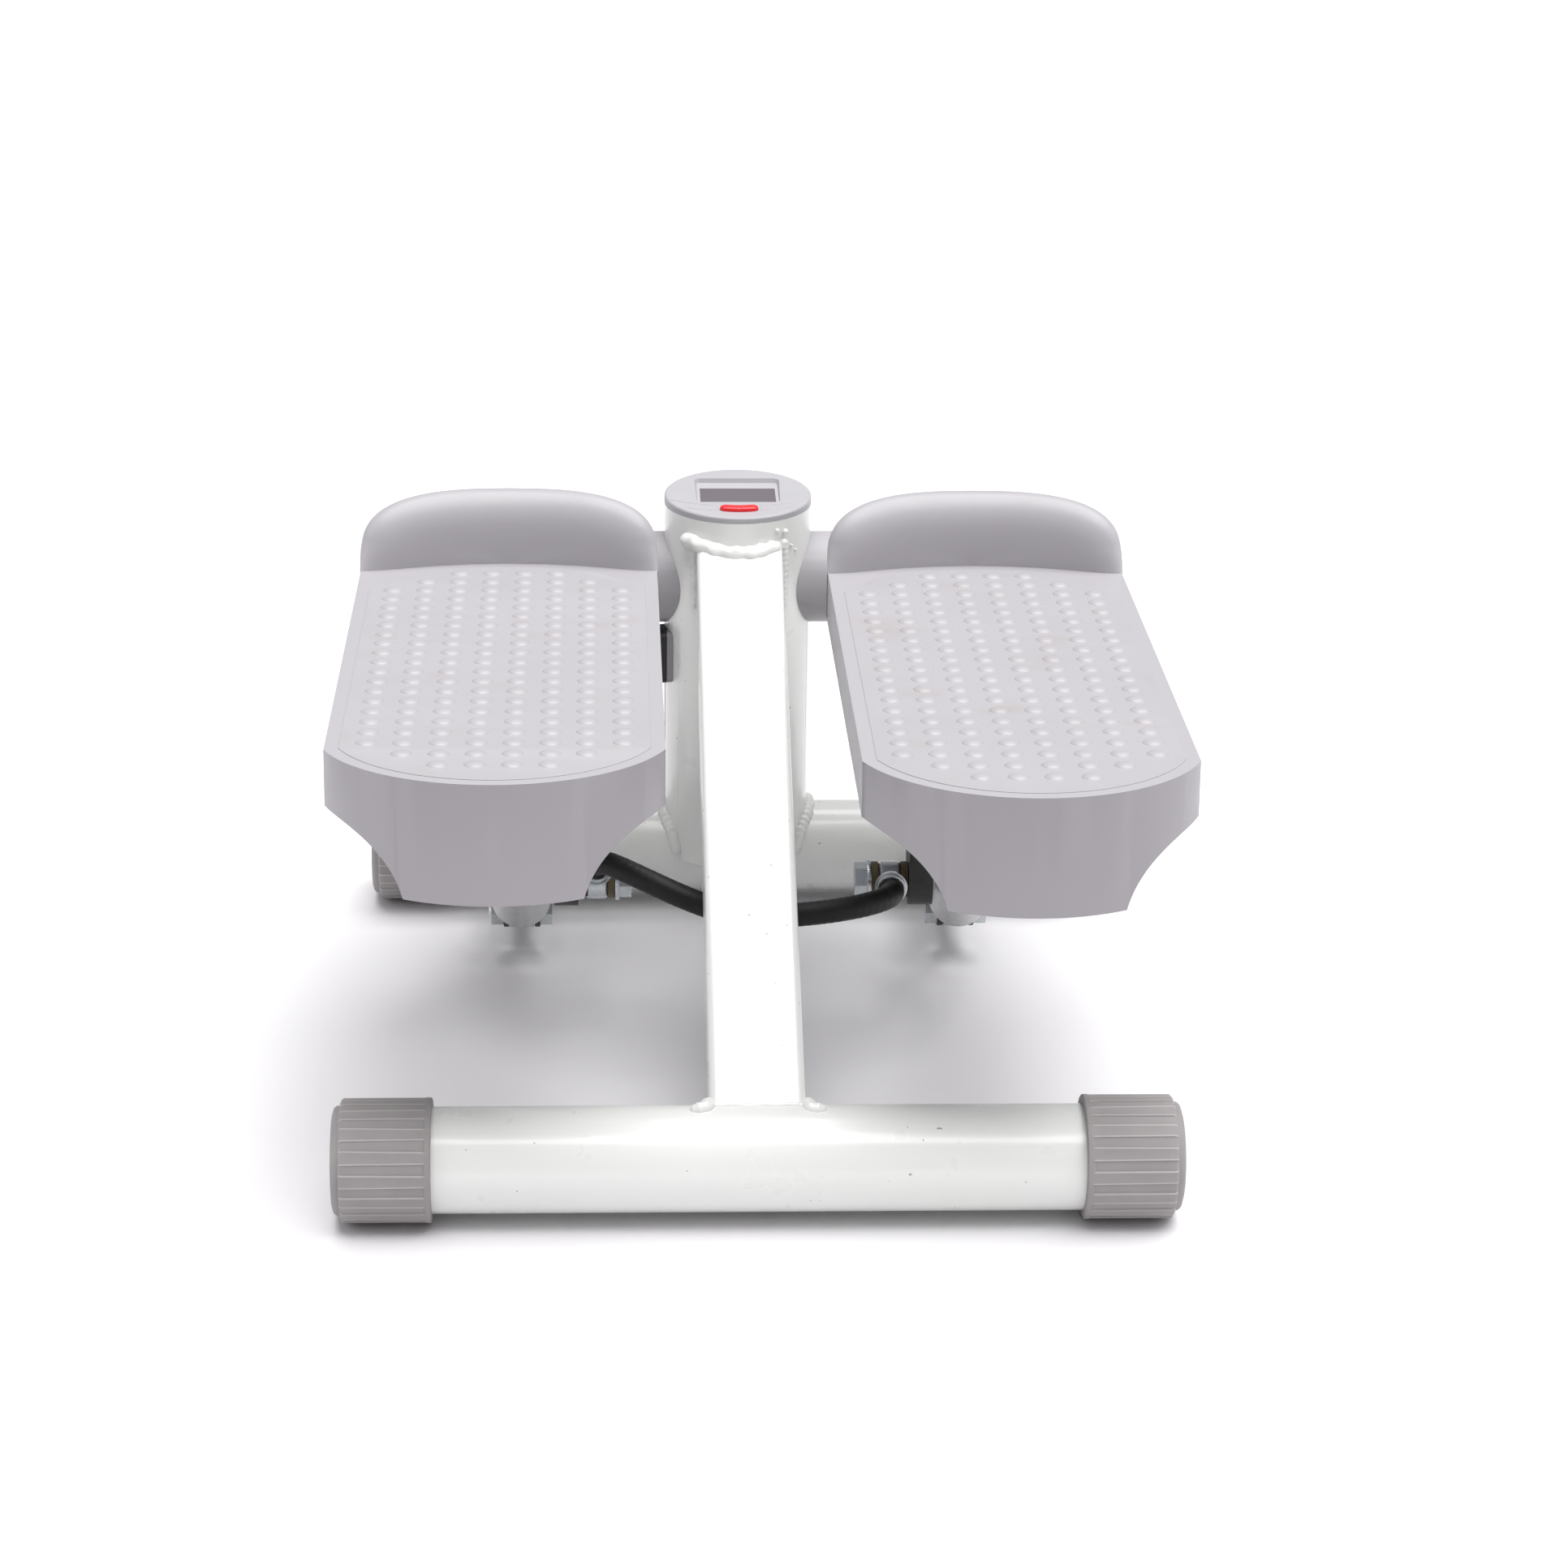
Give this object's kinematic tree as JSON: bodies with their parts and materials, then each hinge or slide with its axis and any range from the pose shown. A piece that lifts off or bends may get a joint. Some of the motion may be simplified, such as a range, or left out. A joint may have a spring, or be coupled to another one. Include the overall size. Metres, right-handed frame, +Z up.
{
  "type": "mini stepper",
  "caption": "Compact stair stepper: two ribbed-tread pedals rock in opposition about one axle through a round column, damped by hydraulic cylinders.",
  "frame": {"origin": "on the floor, at the middle of the overall footprint box", "axes": "+X to the user's right, +Y towards the toes and the column, +Z up"},
  "size_m": [0.3338, 0.418, 0.2102],
  "materials": {
    "white_paint": "gloss powder coat",
    "cap_rubber": "matt moulded rubber",
    "pedal_plastic": "fine matt moulded plastic",
    "pad_plastic": "soft matt inlay",
    "black_paint": "satin powder coat",
    "cover_plastic": "fine matt moulded plastic",
    "zinc": "bright zinc plate",
    "barrel_paint": "silver lacquer",
    "chrome_rod": "polished",
    "nylon": "natural nylon",
    "bush_brown": "dark bush",
    "rope_rubber": "satin rubber sleeve",
    "console_plastic": "fine matt moulded plastic",
    "lens_glass": "clear",
    "lcd": "dark display",
    "board_green": "solder mask",
    "cell_steel": "bright",
    "button_red": "gloss",
    "sensor_black": "satin"
  },
  "bodies": {
    "frame": {"axle_end_bolts": "zinc", "axle_end_washers": "zinc", "axle_washers": "nylon", "battery": "cell_steel", "centre_beam": "white_paint", "circuit_board": "board_green", "console_housing": "console_plastic", "console_screws": "zinc", "cylinder_bracket_left": "black_paint", "cylinder_bracket_right": "black_paint", "cylinder_foot_bolts": "zinc", "cylinder_foot_nuts": "zinc", "display_lens": "lens_glass", "display_panel": "lcd", "foot_cap_front_left": "cap_rubber", "foot_cap_front_right": "cap_rubber", "foot_cap_rear_left": "cap_rubber", "foot_cap_rear_right": "cap_rubber", "front_cross_tube": "white_paint", "pivot_axle": "zinc", "pivot_cover_left": "cover_plastic", "pivot_cover_right": "cover_plastic", "pulley_bolt": "zinc", "pulley_bracket": "white_paint", "rear_cross_tube": "white_paint", "rope_left": "rope_rubber", "rope_right": "rope_rubber", "sensor_cable": "sensor_black", "sensor_housing": "sensor_black", "sensor_screw": "zinc", "upright_column": "white_paint"},
    "left_pedal": {"pedal_left": "pedal_plastic", "tread_pad_left": "pad_plastic", "pedal_arm_left": "black_paint", "hub_cover_left": "cover_plastic", "hub_bushes_left": "nylon", "pedal_screws_left": "zinc", "rope_bolt_left": "zinc", "rope_washer_left": "zinc", "rope_bushes_left": "bush_brown", "rope_eye_left": "zinc", "rod_bolt_left": "zinc", "sensor_magnet": "cell_steel"},
    "right_pedal": {"pedal_right": "pedal_plastic", "tread_pad_right": "pad_plastic", "pedal_arm_right": "black_paint", "hub_cover_right": "cover_plastic", "hub_bushes_right": "nylon", "pedal_screws_right": "zinc", "rope_bolt_right": "zinc", "rope_washer_right": "zinc", "rope_bushes_right": "bush_brown", "rope_eye_right": "zinc", "rod_bolt_right": "zinc"},
    "left_cylinder": {"cylinder_barrel_left": "barrel_paint"},
    "right_cylinder": {"cylinder_barrel_right": "barrel_paint"},
    "left_rod": {"piston_rod_left": "chrome_rod"},
    "right_rod": {"piston_rod_right": "chrome_rod"},
    "pulley": {"guide_pulley": "nylon"},
    "button": {"console_button": "button_red"}
  },
  "joints": [
    {"name": "left_step", "type": "hinge", "parent": "frame", "child": "left_pedal", "pos_m": [0, 0.17597, 0.1557], "axis": [1, 0, 0], "range_deg": [-9.6, 10.4], "deforming": ["rope_left"]},
    {"name": "right_step", "type": "hinge", "parent": "frame", "child": "right_pedal", "pos_m": [0, 0.17597, 0.1557], "axis": [1, 0, 0], "range_deg": [-10.4, 9.6], "deforming": ["rope_right"]},
    {"name": "left_cylinder_tilt", "type": "hinge", "parent": "frame", "child": "left_cylinder", "pos_m": [-0.097, 0.10657, 0.0227], "axis": [1, 0, 0], "range_deg": [-8.6, 9.3]},
    {"name": "right_cylinder_tilt", "type": "hinge", "parent": "frame", "child": "right_cylinder", "pos_m": [0.097, 0.10657, 0.0227], "axis": [1, 0, 0], "range_deg": [-9.3, 8.6]},
    {"name": "left_rod_slide", "type": "slide", "parent": "left_cylinder", "child": "left_rod", "axis": [0, -0.8068, 0.5908], "range_m": [-0.027, 0.0249]},
    {"name": "right_rod_slide", "type": "slide", "parent": "right_cylinder", "child": "right_rod", "axis": [0, -0.8143, 0.5805], "range_m": [-0.0249, 0.027]},
    {"name": "pulley_turn", "type": "hinge", "parent": "frame", "child": "pulley", "pos_m": [0, 0.02587, 0.06], "axis": [0, 0, 1], "range_deg": [-53.6, 49.5]},
    {"name": "button_press", "type": "slide", "parent": "frame", "child": "button", "axis": [0, 0, -1], "range_m": [0, 0.0012]}
  ],
  "couplings": [
    {"joint": "right_step", "follows": "left_step", "ratio": -1},
    {"joint": "left_cylinder_tilt", "follows": "left_step", "ratio": 0.8886},
    {"joint": "right_cylinder_tilt", "follows": "left_step", "ratio": -0.8886},
    {"joint": "left_rod_slide", "follows": "left_step", "m_per_rad": -0.14814},
    {"joint": "right_rod_slide", "follows": "left_step", "m_per_rad": 0.14814},
    {"joint": "pulley_turn", "follows": "left_step", "ratio": -5.141}
  ]
}
